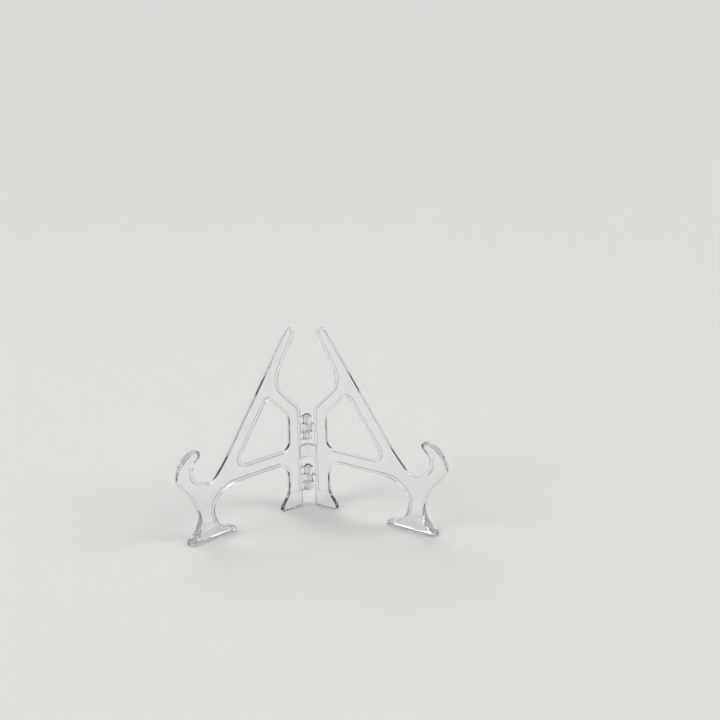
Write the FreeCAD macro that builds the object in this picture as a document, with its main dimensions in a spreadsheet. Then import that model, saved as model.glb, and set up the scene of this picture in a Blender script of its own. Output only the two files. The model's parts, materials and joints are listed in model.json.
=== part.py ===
"""Folding plate display stand, moulded in clear plastic.

Two side frames stand like an open book.  Each one is a thin moulded plate with a thicker rim, which
carries a fluted front hook, a slot for the plate's edge, a leaning back arm, a front foot and a rear
foot.  Their rear edges are joined by two knuckle hinges with a loose pin each, and a mitred tab on each
rear edge stops them at the full opening.

Units are millimetres.  A frame is drawn in its own plane: X runs from the hinge axis towards the front
hook, Y is square to the plate and Z is up, with the hinge axis on Z.  Its Placement then turns it to its
place in the stand, whose front faces -Y and whose origin is under the middle of the stand.
"""

import FreeCAD, Part
import math
import os

V = FreeCAD.Vector

# name, value, what it is
SIZES = [
    # the whole stand
    ("opening_angle", 90.0, "angle between the two frames at the stop"),
    ("frame_reach", 123.4, "hinge axis to the front line, which the frame's lengths are counted from"),
    ("back_height", 146.0, "top of the back arm"),
    ("rest_angle", 38.7, "lean of the back arm from the vertical, in the plane of a frame"),
    # the moulding
    ("web_thick", 2.4, "plate between the rims"),
    ("rim_thick", 3.4, "rim round every edge, across the plate"),
    ("rim_depth", 2.2, "rim, measured in from the edge"),
    # front hook and the slot for the plate's edge
    ("hook_height", 71.6, "top of the front hook"),
    ("hook_radius", 21.0, "outer curve of the hook"),
    ("hook_centre", 5.0, "centre of that curve, behind the front line"),
    ("hook_turn", 66.0, "angle that the curve covers, down from its top"),
    ("hook_cheek", 5.6, "straight run below the curve"),
    ("hook_tip", 8.4, "hook's tip, behind the front line"),
    ("hook_tip_thick", 5.2, "hook's tip, from top to underside"),
    ("hook_spread", 5.2, "hook's top, how much wider than the rim"),
    ("hook_flare", 20.0, "length over which the hook widens from the rim"),
    ("slot_front", 1.5, "front wall of the slot, behind the front line"),
    ("slot_width", 23.0, "slot along the frame at its floor"),
    ("slot_floor", 43.8, "height of the slot's floor"),
    ("flute_radius", 0.9, "flutes over the front of the hook"),
    ("flute_pitch", 2.5, "spacing of the flutes"),
    ("flute_start", 42.0, "angle round the hook at which the flutes start, from level"),
    ("flute_sweep", 75.0, "angle round the hook that the flutes cover"),
    # front leg and foot
    ("foot_length", 41.8, "front foot along the frame"),
    ("foot_spread", 7.2, "front foot, how much wider than the rim"),
    ("foot_flare", 30.0, "height at which the foot has narrowed to the rim"),
    ("sole_lead", 3.8, "front edge of the sole, ahead of the front line"),
    ("toe_lead", 4.2, "front toe, ahead of the front line"),
    ("toe_height", 4.4, "height of the toes"),
    ("waist_front", 7.6, "front of the leg's waist"),
    ("waist_back", 21.6, "back of the leg's waist"),
    ("waist_height", 18.0, "height of the waist"),
    # arch, rail and back
    ("arch_height", 37.0, "underside of the rail"),
    ("rail_depth", 12.0, "rail between the arch and the window"),
    ("arm_width", 13.0, "back arm at its root"),
    ("arm_tip_width", 9.6, "back arm at its tip"),
    ("brace_height", 104.0, "where the rear brace leaves the arm"),
    ("brace_depth", 12.0, "rear brace, across its length"),
    ("post_width", 13.0, "rear post"),
    ("post_gap", 6.0, "hinge axis to the rear edge of the post"),
    ("post_height", 79.0, "top of the rear post"),
    ("rear_foot_length", 22.5, "rear foot along the frame"),
    ("rear_foot_spread", 0.6, "rear foot, how much wider than the rim"),
    ("rear_foot_flare", 12.0, "height at which the rear foot has narrowed to the rim"),
    # hinges
    ("knuckle_radius", 3.8, "outside of a knuckle"),
    ("knuckle_length", 6.0, "each knuckle, along the axis"),
    ("knuckle_gap", 0.25, "between neighbouring knuckles"),
    ("lower_hinge", 12.0, "bottom of the lower hinge"),
    ("upper_hinge", 53.0, "bottom of the upper hinge"),
    ("pin_radius", 1.5, "hinge pin"),
    ("pin_running_gap", 0.06, "pin to the turning knuckle's bore"),
    ("pin_press", 0.02, "pin's grip in the fixed knuckles' bores"),
    ("pin_head_radius", 2.7, "pin's head"),
    ("pin_head_height", 1.4, "pin's head"),
    ("pin_tip_length", 1.2, "pin beyond the last knuckle"),
    ("pin_chamfer", 0.4, "pin's tip"),
    ("stop_height", 38.0, "bottom of the stop tab"),
    ("stop_length", 10.0, "stop tab, along the axis"),
    ("stop_gap", 0.08, "each stop face to the middle of the stand"),
]

CUT_MARGIN = 1.0      # how far a cutter runs past what it cuts, and an added piece into what it joins
CORNER_SHARE = 0.48   # share of the shorter run that a corner's rounding may take

# Where the outline's smaller turns lie, as shares of the sizes that they follow
TOE_RISE = 0.6            # of toe_height
INSTEP = (0.62, 0.5)      # of waist_front and waist_height
SHIN_RISE = 1.15          # of waist_height
KNEE = 0.26               # of waist_front
CHEST = 0.62              # of the hook's foremost point
LIP_THICKS = 2.0          # thicknesses of the hook's tip from its top to the slot's throat
SLOT_HOLLOW = 0.22        # of slot_width
SLOT_HEEL = 0.84          # of slot_width
REAR_SHIN_RISE = 0.35     # of arch_height
ARCH_CROWN = 0.42         # of arch_height
ARCH_SIDE = (0.04, 0.75)  # of arch_height, along and up
CALF_RISE = 0.95          # of waist_height
HEEL = (0.66, 0.42)       # of foot_length and waist_height

# The same, as lengths
KNEE_DROP = 12.0          # below the slot's floor
CHEST_LIFT = 0.4          # above it
TIP_LEAN = 1.0            # hook's underside, ahead of its tip
THROAT_LEAN = 0.2         # slot's throat, ahead of its front wall
WALL_LIFT = 7.5           # foot of the slot's front wall, above its floor
HOLLOW_LIFT = 2.9         # front of the slot's floor, above its middle
HEEL_DROP = 0.4           # rear of the slot's floor, below its middle
REAR_SHIN = 1.5           # front edge of the rear leg, ahead of the post's

# Roundings of the corners
SOLE_ROUND = 1.2
TOE_ROUND = 1.0
HEEL_ROUND = 2.4
REAR_HEEL_ROUND = 2.0
REAR_TOE_ROUND = 1.6
BULGE_ROUND = 10.0
BRACE_ROUND = 14.0
WINDOW_FRONT_ROUND = 5.0
WINDOW_REAR_ROUND = 7.0
POST_ROUND = 0.7          # of post_width
ARM_TIP_ROUND = 0.48      # of arm_tip_width
TIP_ROUND = 0.5           # of hook_tip_thick, above
LIP_ROUND = 0.3           # of hook_tip_thick, below

HINGES = ("lower", "upper")
UPRIGHT = FreeCAD.Rotation(V(1, 0, 0), 90)      # a sketch's Y becomes Z
ACROSS = FreeCAD.Rotation(V(1, 1, 1), 120)      # a sketch's X and Y become Y and Z


# ---------------------------------------------------------------- the sheet


def make_sheet(doc):
    """The driving dimensions, one row each, with an alias."""
    sheet = doc.addObject("Spreadsheet::Sheet", "Sizes")
    for row, (alias, value, note) in enumerate(SIZES, start=1):
        sheet.set(f"A{row}", alias)
        sheet.set(f"B{row}", str(value))
        sheet.set(f"C{row}", note)
        sheet.setAlias(f"B{row}", alias)
    doc.recompute()
    return sheet


class Sizes:
    """The sheet's values, read by alias, and the lengths that follow from them."""

    def __init__(self, sheet):
        for alias, _, _ in SIZES:
            setattr(self, alias, float(sheet.get(alias)))
        self.arm_run = math.tan(math.radians(self.rest_angle))
        self.arm_spread = 1 / math.cos(math.radians(self.rest_angle))
        self.post_rear = self.frame_reach - self.post_gap
        self.post_front = self.post_rear - self.post_width
        self.axis_offset = self.knuckle_radius - self.rim_thick / 2

    def arm_front(self, z):
        """Distance behind the front line of the back arm's front edge, at height z."""
        return self.slot_front + self.slot_width + (z - self.slot_floor) * self.arm_run

    def arm_back(self, z, width):
        """The same for its rear edge, where the arm is that wide."""
        return self.arm_front(z) + width * self.arm_spread

    def knuckle_bottom(self, hinge, place):
        """Height of the bottom of a hinge's knuckle, counted 0, 1, 2 from below."""
        start = self.lower_hinge if hinge == "lower" else self.upper_hinge
        return start + place * (self.knuckle_length + self.knuckle_gap)


# ---------------------------------------------------------------- outlines


def rounded(corners):
    """A closed run of straight lines and tangent arcs through corners, as sketch geometry.

    Each corner is (x, y, radius); radius None takes as much of the shorter run as CORNER_SHARE allows.
    """
    points = [V(x, y, 0) for x, y, _ in corners]
    count = len(points)
    arcs = []
    for i, (_, _, wanted) in enumerate(corners):
        before = points[i - 1] - points[i]
        after = points[(i + 1) % count] - points[i]
        half_turn = (math.pi - before.getAngle(after)) / 2
        most = CORNER_SHARE * min(before.Length, after.Length) / math.tan(half_turn)
        radius = most if wanted is None else wanted
        reach = radius * math.tan(half_turn)
        before.normalize()
        after.normalize()
        inward = before + after
        inward.normalize()
        middle = points[i] + inward * (radius / math.cos(half_turn) - radius)
        arcs.append((points[i] + before * reach, middle, points[i] + after * reach))
    geometry = []
    for i, (start, middle, end) in enumerate(arcs):
        geometry.append(Part.Arc(start, middle, end))
        geometry.append(Part.LineSegment(end, arcs[(i + 1) % count][0]))
    return geometry


def frame_corners(v):
    """Corners of a frame's outline as (distance behind the front line, height, radius)."""
    turn = math.radians(v.hook_turn)
    shoulder = v.hook_centre - v.hook_radius * math.sin(turn)
    shoulder_height = v.hook_height - v.hook_radius * (1 - math.cos(turn))
    bulge = shoulder - v.hook_cheek * math.cos(turn)
    bulge_height = shoulder_height - v.hook_cheek * math.sin(turn)
    front_leg = [
        (-v.sole_lead, 0.0, SOLE_ROUND),
        (-v.toe_lead, TOE_RISE * v.toe_height, TOE_ROUND),
        (INSTEP[0] * v.waist_front, INSTEP[1] * v.waist_height, None),
        (v.waist_front, SHIN_RISE * v.waist_height, None),
        (KNEE * v.waist_front, v.slot_floor - KNEE_DROP, None),
        (CHEST * bulge, v.slot_floor + CHEST_LIFT, None),
        (bulge, bulge_height, BULGE_ROUND),
    ]
    throat_height = v.hook_height - LIP_THICKS * v.hook_tip_thick
    hook = [
        (v.hook_centre - v.hook_radius * math.tan(turn / 2), v.hook_height, v.hook_radius),
        (v.hook_tip, v.hook_height, TIP_ROUND * v.hook_tip_thick),
        (v.hook_tip - TIP_LEAN, v.hook_height - v.hook_tip_thick, LIP_ROUND * v.hook_tip_thick),
        (v.slot_front - THROAT_LEAN, throat_height, None),
        (v.slot_front, v.slot_floor + WALL_LIFT, None),
        (v.slot_front + SLOT_HOLLOW * v.slot_width, v.slot_floor + HOLLOW_LIFT, None),
        (v.slot_front + SLOT_HEEL * v.slot_width, v.slot_floor - HEEL_DROP, None),
    ]
    arm_root = v.slot_floor + v.arm_width
    arm_top = v.back_height - v.arm_tip_width / 2
    arm_tip_round = ARM_TIP_ROUND * v.arm_tip_width
    arm = [
        (v.arm_front(arm_root), arm_root, None),
        (v.arm_front(v.back_height), v.back_height, arm_tip_round),
        (v.arm_back(arm_top, v.arm_tip_width), arm_top, arm_tip_round),
        (v.arm_back(v.brace_height, v.arm_width), v.brace_height, BRACE_ROUND),
    ]
    rear_toe = v.post_rear - v.rear_foot_length
    rear_shin = v.post_front - REAR_SHIN
    rear = [
        (v.post_rear, v.post_height, POST_ROUND * v.post_width),
        (v.post_rear, 0.0, REAR_HEEL_ROUND),
        (rear_toe, 0.0, REAR_TOE_ROUND),
        (rear_toe, v.toe_height, None),
        (rear_shin, REAR_SHIN_RISE * v.arch_height, None),
        (rear_shin, v.arch_height, None),
    ]
    arch = [
        (v.waist_back + ARCH_CROWN * v.arch_height, v.arch_height, None),
        (v.waist_back + ARCH_SIDE[0] * v.arch_height, ARCH_SIDE[1] * v.arch_height, None),
        (v.waist_back, CALF_RISE * v.waist_height, None),
        (HEEL[0] * v.foot_length, HEEL[1] * v.waist_height, None),
        (v.foot_length, v.toe_height, HEEL_ROUND),
        (v.foot_length, 0.0, SOLE_ROUND),
    ]
    return front_leg + hook + arm + rear + arch


def window_corners(v):
    """Corners of the opening between the arm, the rail and the rear post, in the same terms."""
    sill = v.arch_height + v.rail_depth
    brace_start = v.arm_back(v.brace_height, v.arm_width)
    brace_slope = (v.post_height - v.brace_height) / (v.post_rear - brace_start)
    drop = v.brace_depth * math.hypot(1, brace_slope)
    lean = 1 / v.arm_run
    # where the arm's rear edge meets the brace's lower edge
    arm_foot = v.arm_back(sill, v.arm_width)
    brace_edge = v.brace_height - drop - sill - brace_slope * brace_start
    apex = (brace_edge + lean * arm_foot) / (lean - brace_slope)
    return [
        (arm_foot, sill, WINDOW_FRONT_ROUND),
        (apex, sill + (apex - arm_foot) * lean, WINDOW_FRONT_ROUND),
        (v.post_front, v.post_height - drop - brace_slope * v.post_width, WINDOW_REAR_ROUND),
        (v.post_front, sill, WINDOW_REAR_ROUND),
    ]


# ---------------------------------------------------------------- building blocks


def make_sketch(doc, name, geometry, turn):
    """A sketch outside any body, turned to its plane."""
    sketch = doc.addObject("Sketcher::SketchObject", name)
    sketch.addGeometry(geometry, False)
    sketch.Placement = FreeCAD.Placement(V(), turn)
    return sketch


def offset_face(doc, name, outline, distance):
    """The face inside an outline that is moved outwards by a distance, or inwards where it is negative."""
    doc.recompute()
    made = doc.addObject("Part::Feature", name)
    made.Shape = Part.Face(outline.Shape.makeOffset2D(distance))
    return made


def extrude(doc, name, outline, length):
    """A solid from an outline, the given expression long, half to each side."""
    made = doc.addObject("Part::Extrusion", name)
    made.Base = outline
    made.DirMode = "Custom"
    made.Dir = V(0, 1, 0)
    made.FaceMakerClass = "Part::FaceMakerSimple"
    made.Solid = True
    made.Symmetric = True
    made.setExpression("LengthFwd", length)
    return made


def fuse(doc, name, parts):
    """Part::MultiFuse of all the parts."""
    made = doc.addObject("Part::MultiFuse", name)
    made.Shapes = parts
    made.Refine = True
    return made


def boolean(doc, kind, name, base, tool):
    """Part::Cut or Part::Common of base with tool."""
    made = doc.addObject(kind, name)
    made.Base = base
    made.Tool = tool
    made.Refine = True
    return made


def flared_section(v, spread, slim, full):
    """Outline across the plate: as wide as the rim at the height slim, swelling by spread at full."""
    narrow = v.rim_thick / 2
    wide = narrow + spread / 2
    run = abs(full - slim)
    radius = ((wide - narrow) ** 2 + run ** 2) / (2 * (wide - narrow))
    half_way = math.asin(run / radius) / 2
    rise = math.copysign(radius * math.sin(half_way), full - slim)
    middle = V(narrow + radius * (1 - math.cos(half_way)), slim + rise, 0)
    right = [V(narrow, slim, 0), middle, V(wide, full, 0)]
    left = [V(-point.x, point.y, 0) for point in right]
    return [
        Part.Arc(*right),
        Part.LineSegment(right[2], left[2]),
        Part.Arc(*left),
        Part.LineSegment(left[0], right[0]),
    ]


# ---------------------------------------------------------------- side frames


def make_plate(doc, v, outline, window):
    """The moulded plate: a thin web inside a thicker rim that follows every edge."""
    web_bound = offset_face(doc, "web_bound", outline, -v.rim_depth)
    window_bound = offset_face(doc, "window_bound", window, v.rim_depth)
    blank = extrude(doc, "blank", outline, "Sizes.rim_thick")
    recess = extrude(doc, "recess", web_bound, "Sizes.rim_thick * 2")
    window_rim = extrude(doc, "window_rim", window_bound, "Sizes.rim_thick * 2")
    hollow = boolean(doc, "Part::Cut", "hollow", recess, window_rim)
    rim = boolean(doc, "Part::Cut", "rim", blank, hollow)
    web = extrude(doc, "web", outline, "Sizes.web_thick")
    plate = fuse(doc, "plate", [rim, web])
    opening = extrude(doc, "opening", window, "Sizes.rim_thick * 2")
    return boolean(doc, "Part::Cut", "windowed_plate", plate, opening)


def make_flare(doc, name, outline, section, start, end):
    """The part of the frame's outline that lies inside a flared section across the plate.

    Its width is the rim's plus the size NAME_spread.  It runs from start to end along the frame, counted
    from the hinge axis.
    """
    wide = extrude(doc, f"{name}_wide", outline, f"Sizes.rim_thick + Sizes.{name}_spread")
    bell = doc.addObject("Part::Extrusion", f"{name}_bell")
    bell.Base = make_sketch(doc, f"{name}_section", section, ACROSS)
    bell.DirMode = "Custom"
    bell.Dir = V(1, 0, 0)
    bell.Solid = True
    bell.LengthFwd = end - start
    bell.Placement.Base = V(start, 0, 0)
    return boolean(doc, "Part::Common", name, wide, bell)


def make_flares(doc, v, outline):
    """The front foot, the rear foot and the hook, which all widen from the rim across the plate."""
    foot = flared_section(v, v.foot_spread, v.foot_flare, 0.0)
    foot_start = v.frame_reach - v.foot_length - CUT_MARGIN
    heel = flared_section(v, v.rear_foot_spread, v.rear_foot_flare, 0.0)
    heel_end = v.post_gap + v.rear_foot_length + CUT_MARGIN
    claw = flared_section(v, v.hook_spread, v.hook_height - v.hook_flare, v.hook_height + CUT_MARGIN)
    claw_start = v.frame_reach - v.hook_tip - CUT_MARGIN
    front_end = v.frame_reach + v.hook_radius
    return [
        make_flare(doc, "foot", outline, foot, foot_start, front_end),
        make_flare(doc, "rear_foot", outline, heel, 0.0, heel_end),
        make_flare(doc, "hook", outline, claw, claw_start, front_end),
    ]


def make_flutes(doc, v):
    """Three half-round grooves over the hook's outer curve, from a round end at its front to its tip."""
    turn = UPRIGHT.multiply(FreeCAD.Rotation(V(0, 0, 1), v.flute_start))
    grooves = []
    for number in (-1, 0, 1):
        place = V(v.frame_reach - v.hook_centre, number * v.flute_pitch, v.hook_height - v.hook_radius)
        groove = doc.addObject("Part::Torus", f"flute_{number + 2}")
        groove.setExpression("Radius1", "Sizes.hook_radius")
        groove.setExpression("Radius2", "Sizes.flute_radius")
        groove.setExpression("Angle3", "Sizes.flute_sweep")
        groove.Placement = FreeCAD.Placement(place, turn)
        end = doc.addObject("Part::Sphere", f"flute_end_{number + 2}")
        end.setExpression("Radius", "Sizes.flute_radius")
        end.Placement.Base = place + turn.multVec(V(v.hook_radius, 0, 0))
        grooves += [groove, end]
    return fuse(doc, "flutes", grooves)


def make_moulding(doc, v):
    """A frame without its hinge parts, on the +Y side of the hinge axis, and its mirror image."""
    outline_points = [(v.frame_reach - s, z, r) for s, z, r in frame_corners(v)]
    window_points = [(v.frame_reach - s, z, r) for s, z, r in window_corners(v)]
    outline = make_sketch(doc, "frame_outline", rounded(outline_points), UPRIGHT)
    window = make_sketch(doc, "window_outline", rounded(window_points), UPRIGHT)
    solid = fuse(doc, "flared_plate", [make_plate(doc, v, outline, window)] + make_flares(doc, v, outline))
    moulding = boolean(doc, "Part::Cut", "moulding", solid, make_flutes(doc, v))
    moulding.Placement.Base = V(0, v.axis_offset, 0)
    mirrored = doc.addObject("Part::Mirroring", "mirrored_moulding")
    mirrored.Source = moulding
    mirrored.Normal = V(0, 1, 0)
    return moulding, mirrored


def cylinder(doc, name, radius, length, base):
    """An upright cylinder; radius and length are expressions."""
    made = doc.addObject("Part::Cylinder", name)
    made.setExpression("Radius", radius)
    made.setExpression("Height", length)
    made.Placement.Base = base
    return made


def make_knuckles(doc, v, side, outward, places):
    """A frame's knuckles at the given places of each hinge, and the leaves that carry them."""
    parts = []
    near = -v.knuckle_radius if outward < 0 else v.knuckle_radius - v.rim_thick
    for hinge in HINGES:
        for place in places:
            name = f"{side}_{hinge}_{place}"
            base = V(0, 0, v.knuckle_bottom(hinge, place))
            knuckle = cylinder(doc, f"{name}_knuckle", "Sizes.knuckle_radius", "Sizes.knuckle_length", base)
            leaf = doc.addObject("Part::Box", f"{name}_leaf")
            leaf.setExpression("Length", "Sizes.post_gap + Sizes.rim_depth")
            leaf.setExpression("Width", "Sizes.rim_thick")
            leaf.setExpression("Height", "Sizes.knuckle_length")
            leaf.Placement.Base = base + V(0, near, 0)
            parts += [knuckle, leaf]
    return parts


def make_bores(doc, v, side, places, radius):
    """The holes for the pins, through that frame's knuckles only."""
    length = "Sizes.knuckle_length + Sizes.knuckle_gap"
    bores = []
    for hinge in HINGES:
        for place in places:
            base = V(0, 0, v.knuckle_bottom(hinge, place) - v.knuckle_gap / 2)
            bores.append(cylinder(doc, f"{side}_{hinge}_{place}_bore", radius, length, base))
    return fuse(doc, f"{side}_bores", bores)


def make_stop(doc, v, side, outward):
    """The tab behind the hinge axis, cut at half the opening angle to meet the other frame's tab."""
    half_open = math.radians(v.opening_angle / 2)
    set_back = v.stop_gap / math.sin(half_open)
    inner = v.knuckle_radius - v.rim_thick
    outer = v.knuckle_radius
    root = v.post_gap + v.rim_depth
    section = [
        V(root, outward * inner, 0),
        V(root, outward * outer, 0),
        V(set_back - outer / math.tan(half_open), outward * outer, 0),
        V(set_back - inner / math.tan(half_open), outward * inner, 0),
    ]
    sides = [Part.LineSegment(section[i - 1], section[i]) for i in range(len(section))]
    tab = doc.addObject("Part::Extrusion", f"{side}_stop")
    tab.Base = make_sketch(doc, f"{side}_stop_section", sides, FreeCAD.Rotation())
    tab.DirMode = "Custom"
    tab.Dir = V(0, 0, 1)
    tab.Solid = True
    tab.setExpression("LengthFwd", "Sizes.stop_length")
    tab.Placement.Base = V(0, 0, v.stop_height)
    return tab


def make_frame(doc, v, side, moulding, outward, places, bore):
    """One side frame, in its own plane with the hinge axis on Z; outward is the plate's side of the axis."""
    hinge_parts = make_knuckles(doc, v, side, outward, places) + [make_stop(doc, v, side, outward)]
    joined = fuse(doc, f"{side}_joined", [moulding] + hinge_parts)
    frame = boolean(doc, "Part::Cut", f"{side}_frame", joined, make_bores(doc, v, side, places, bore))
    frame.Label = f"{side}_side_frame"
    return frame


# ---------------------------------------------------------------- hinge pins


def make_pin(doc, v, hinge):
    """A headed pin dropped through a hinge's three knuckles, with a chamfered tip."""
    bottom = v.knuckle_bottom(hinge, 0) - v.pin_tip_length
    top = v.knuckle_bottom(hinge, 2) + v.knuckle_length
    shank = cylinder(doc, f"{hinge}_shank", "Sizes.pin_radius", "Sizes.knuckle_length", V(0, 0, bottom))
    shank.setExpression("Height", "3 * Sizes.knuckle_length + 2 * Sizes.knuckle_gap + Sizes.pin_tip_length")
    head = cylinder(doc, f"{hinge}_head", "Sizes.pin_head_radius", "Sizes.pin_head_height", V(0, 0, top))
    joined = fuse(doc, f"{hinge}_headed", [shank, head])
    doc.recompute()
    edges = list(enumerate(joined.Shape.Edges, start=1))
    tip = [number for number, edge in edges if edge.BoundBox.ZMax < bottom + CUT_MARGIN / 2]
    crown = [number for number, edge in edges if edge.BoundBox.ZMin > top + v.pin_head_height / 2]
    pin = doc.addObject("Part::Chamfer", f"{hinge}_pin")
    pin.Base = joined
    pin.Edges = [(number, v.pin_chamfer, v.pin_chamfer) for number in tip + crown]
    pin.Label = f"{hinge}_hinge_pin"
    return pin


# ---------------------------------------------------------------- the stand


def place_pieces(doc, v, frames, pins):
    """Turns the frames to the full opening and puts the origin under the middle of the stand."""
    half = v.opening_angle / 2
    turns = {"left": -90 - half, "right": -90 + half}
    for side, frame in frames.items():
        frame.Placement = FreeCAD.Placement(V(), FreeCAD.Rotation(V(0, 0, 1), turns[side]))
    doc.recompute()
    box = FreeCAD.BoundBox()
    for frame in frames.values():
        box.add(frame.Shape.optimalBoundingBox(True, False))
    hinge_axis = V(-box.Center.x, -box.Center.y, 0)
    for piece in list(frames.values()) + pins:
        piece.Placement.Base = piece.Placement.Base + hinge_axis
    return hinge_axis


def check(doc, pieces):
    """Stops on a failed feature or a sub-part that isn't one valid solid."""
    for item in doc.Objects:
        if "Invalid" in item.State or "Error" in item.State:
            raise RuntimeError(f"{item.Name} failed: {item.State}")
    for piece in pieces:
        shape = piece.Shape
        if shape.isNull() or not shape.isValid() or len(shape.Solids) != 1:
            raise RuntimeError(f"{piece.Label} is not one valid solid")


def main():
    doc = FreeCAD.newDocument("PlateStand")
    v = Sizes(make_sheet(doc))
    moulding, mirrored = make_moulding(doc, v)
    grip = "Sizes.pin_radius - Sizes.pin_press"
    running = "Sizes.pin_radius + Sizes.pin_running_gap"
    frames = {
        "left": make_frame(doc, v, "left", mirrored, -1, (0, 2), grip),
        "right": make_frame(doc, v, "right", moulding, 1, (1,), running),
    }
    pins = [make_pin(doc, v, hinge) for hinge in HINGES]
    doc.recompute()
    hinge_axis = place_pieces(doc, v, frames, pins)
    doc.recompute()
    pieces = list(frames.values()) + pins
    check(doc, pieces)
    os.makedirs("parts", exist_ok=True)
    for piece in pieces:
        piece.Shape.exportStep(f"parts/{piece.Label}.step")
        box = piece.Shape.BoundBox
        print(f"{piece.Label}: {piece.Shape.Volume:.1f} mm3, {box}")
    print(f"hinge axis at x {hinge_axis.x:.3f}, y {hinge_axis.y:.3f}")


main()
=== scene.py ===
"""Folding plate display stand in clear moulded plastic: the looks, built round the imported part.

Each side frame is one moulding: an edge profile carried along its outline and round its window, flat or
flared faces between, and the hinge knuckles and stop tab joined on.  The hinge pins are turned shapes.
Lengths are in metres.
"""

import json
import math

import bmesh
import bpy
import numpy as np
from mathutils import Euler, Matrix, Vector
from mathutils.geometry import delaunay_2d_cdt


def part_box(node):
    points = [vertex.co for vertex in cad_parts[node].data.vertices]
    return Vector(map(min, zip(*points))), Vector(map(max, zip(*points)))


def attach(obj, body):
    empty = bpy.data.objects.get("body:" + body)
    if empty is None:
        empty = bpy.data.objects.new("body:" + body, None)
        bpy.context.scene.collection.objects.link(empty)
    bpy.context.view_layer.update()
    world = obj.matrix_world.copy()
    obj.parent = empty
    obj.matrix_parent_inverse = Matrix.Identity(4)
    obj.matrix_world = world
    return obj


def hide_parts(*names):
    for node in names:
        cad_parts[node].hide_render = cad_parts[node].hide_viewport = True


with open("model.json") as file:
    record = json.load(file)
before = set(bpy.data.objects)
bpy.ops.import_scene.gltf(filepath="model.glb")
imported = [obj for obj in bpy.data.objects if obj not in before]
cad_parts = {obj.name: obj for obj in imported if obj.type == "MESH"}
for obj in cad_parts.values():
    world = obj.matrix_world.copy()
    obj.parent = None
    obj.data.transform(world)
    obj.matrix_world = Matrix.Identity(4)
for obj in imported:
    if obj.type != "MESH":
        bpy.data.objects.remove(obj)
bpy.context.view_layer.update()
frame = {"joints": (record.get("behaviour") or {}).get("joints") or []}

bl_info = {
    "name": "Clear plate stand",
    "version": (1, 0, 0),
    "blender": (4, 5, 0),
    "location": "3D View > Sidebar > Plate stand",
    "description": "Builds a folding plate display stand in clear moulded plastic",
    "category": "Object",
}

MM = 0.001
HINGE = frame["joints"][0]
AXIS = np.array(HINGE["pos_m"][:2])
PIN_BOX = {hinge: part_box(f"{hinge}_hinge_pin") for hinge in ("lower", "upper")}

TINY = 1e-9

# Meshing
CORNER_SHARE = 0.48     # share of the shorter run that a corner's rounding may take
ARC_STEPS = 24          # points on each rounded corner before the loop is spaced out
ROOM_SHARE = 0.85       # how far the face rings may go towards the middle of a narrow part
EDGE_ROOM = 0.8         # share of that way which an edge's rounding may take
ROUND_SHARE = 0.75      # how much of an edge's rounding the columns across it may reach over
ROUND_STEPS = (0.25, 0.5, 0.75)         # where the columns beyond them stand, from there to the face
RING_STEPS = (-0.5, -0.2, 0.2, 0.5)     # rings over the slope between rim and web, as shares of its run
END_COLUMNS = (1, 0.9, 0, -0.9, -1)     # columns across a plain block, as shares of half its length
FACE_SPACING = 1.8 * MM                 # between points on the curved faces
FLUTES = (1, 0, -1)                     # places of the flutes across the hook, in pitches
FLUTE_MARGIN = 0.02 * MM                # from the outermost flutes to the next column
BARREL_STEPS, BORE_STEPS, PIN_STEPS = 72, 48, 64    # points round a knuckle, its bore and a pin
PIN_STEP = 0.8 * MM                     # between points of a pin's section
PIN_BEND = 1.5                          # turning between them, against that along the frames' edges
SHARP_ANGLE = math.radians(38)          # edges that turn by more stay sharp

# Lesser corners of the outline and the hinge parts
SOLE_ROUND = 1.2 * MM
TOE_NOSE_ROUND = 1.0 * MM
HEEL_TIP_ROUND = 2.4 * MM
REAR_HEEL_ROUND = 2.0 * MM
REAR_TOE_ROUND = 1.6 * MM
TIP_UNDER_SHARE = 0.3                   # rounding under the hook's tip, as a share of its thickness
POST_TOP_SHARE = 0.7                    # rounding on top of the rear post, as a share of its width
SLOT_FLOOR = ((0.22, 2.9 * MM), (0.84, -0.4 * MM))     # its two corners: share of its width, height over it
WINDOW_FRONT_ROUND = 5.0 * MM
WINDOW_REAR_ROUND = 7.0 * MM
LEAF_LAP = 0.6                          # how deep a leaf ends in the rim, as a share of the rim's depth
STOP_ROUND = 0.2 * MM
PIN_TIP_ROUND = 0.15 * MM
PIN_NECK_ROUND = 0.1 * MM
PIN_HEAD_ROUND = 0.6 * MM
FOOT_END = 0.15                         # share of its rounding at which the front foot stops narrowing
HOOK_REACH = 1.2                        # how far behind the toe line flutes may run, against the hook's tip
FLUTE_REACH = 1.1                       # deepest point that still counts as a flute, in flute radii

# How each frame stands: the side its faces look to, its turn in plan, and its places among the knuckles
OUTWARD = {"left": -1, "right": 1}
TURN = {"left": math.radians(-135), "right": math.radians(-45)}
KNUCKLES = {"left": (0, 2), "right": (1,)}

# Surface: how much each kind of wear adds to the roughness, and how much of each kind a plastic has; rounding
# and fluting are the amounts of painted edge shade and of a painted dark reflection in the flutes
WORN, DUSTY, SCUFFED = 0.22, 0.30, 0.38
EDGE_ON = (0.35, 1.0)                   # facing values between which the painted edge shade deepens
CLEAR_LOOK = {
    "scratches": 0.3, "dust": 0.2, "scuffs": 0.5, "ripple": 1.0, "texture": 0.02, "bump": 0.06 * MM,
    "rounding": 0.8, "fluting": 1.0,
}
CLOUDY_LOOK = {
    "scratches": 0.8, "dust": 0.35, "scuffs": 0.0, "ripple": 0.5, "texture": 0.08, "bump": 0.05 * MM,
    "rounding": 0.0, "fluting": 0.0,
}

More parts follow.
